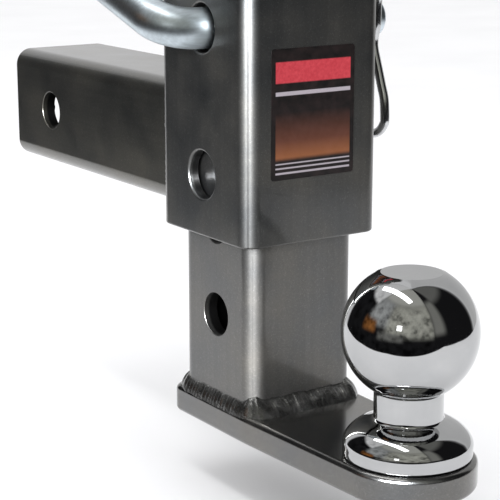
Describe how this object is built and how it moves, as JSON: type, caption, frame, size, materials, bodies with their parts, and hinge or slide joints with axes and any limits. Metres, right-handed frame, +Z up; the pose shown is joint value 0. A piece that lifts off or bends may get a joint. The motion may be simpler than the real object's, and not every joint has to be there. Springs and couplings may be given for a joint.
{
  "type": "trailer hitch with ball",
  "caption": "Adjustable drop ball mount: square receiver shank, upright sleeve, drop leg held by a bent pin and clip, and a chrome hitch ball.",
  "frame": {"origin": "centre of the receiver pin hole, on the receiver shank's axis", "axes": "+Y along the shank towards the vehicle, so the ball is at -Y; +Z up; X across, along the hitch pin, with the pin's handle at -X"},
  "size_m": [0.1079, 0.2926, 0.2467],
  "materials": {
    "frame_paint": "satin metallic charcoal powder coat",
    "leg_paint": "satin metallic charcoal powder coat",
    "weld_paint": "rippled weld bead under thin metallic paint",
    "ball_chrome": "mirror chrome plate",
    "fastener_zinc": "bright zinc plate",
    "pin_zinc": "bluish zinc plate with drawing marks",
    "clip_wire": "bright zinc-plated spring wire",
    "label_film": "glossy printed film with a plain abstract pattern"
  },
  "bodies": {
    "frame": {"shank_tube": "frame_paint", "sleeve_tube": "frame_paint", "shank_weld_top": "weld_paint", "shank_weld_bottom": "weld_paint", "shank_weld_left": "weld_paint", "shank_weld_right": "weld_paint", "label_plate": "label_film"},
    "drop_leg": {"leg_tube": "leg_paint", "ball_plate": "leg_paint", "foot_weld_front": "weld_paint", "foot_weld_rear": "weld_paint", "foot_weld_left": "weld_paint", "foot_weld_right": "weld_paint", "hitch_ball": "ball_chrome", "lock_washer": "fastener_zinc", "ball_nut": "fastener_zinc"},
    "pin": {"hitch_pin": "pin_zinc"},
    "clip": {"pin_clip": "clip_wire"}
  },
  "joints": [
    {"name": "leg_lift", "type": "slide", "parent": "frame", "child": "drop_leg", "axis": [0, 0, 1], "range_m": [0, 0.0009]},
    {"name": "pin_turn", "type": "hinge", "parent": "frame", "child": "pin", "pos_m": [0, -0.1406, 0.0498], "axis": [1, 0, 0], "continuous": true},
    {"name": "clip_pull", "type": "slide", "parent": "pin", "child": "clip", "axis": [0, 0, -1], "range_m": [0, 0.034]}
  ]
}
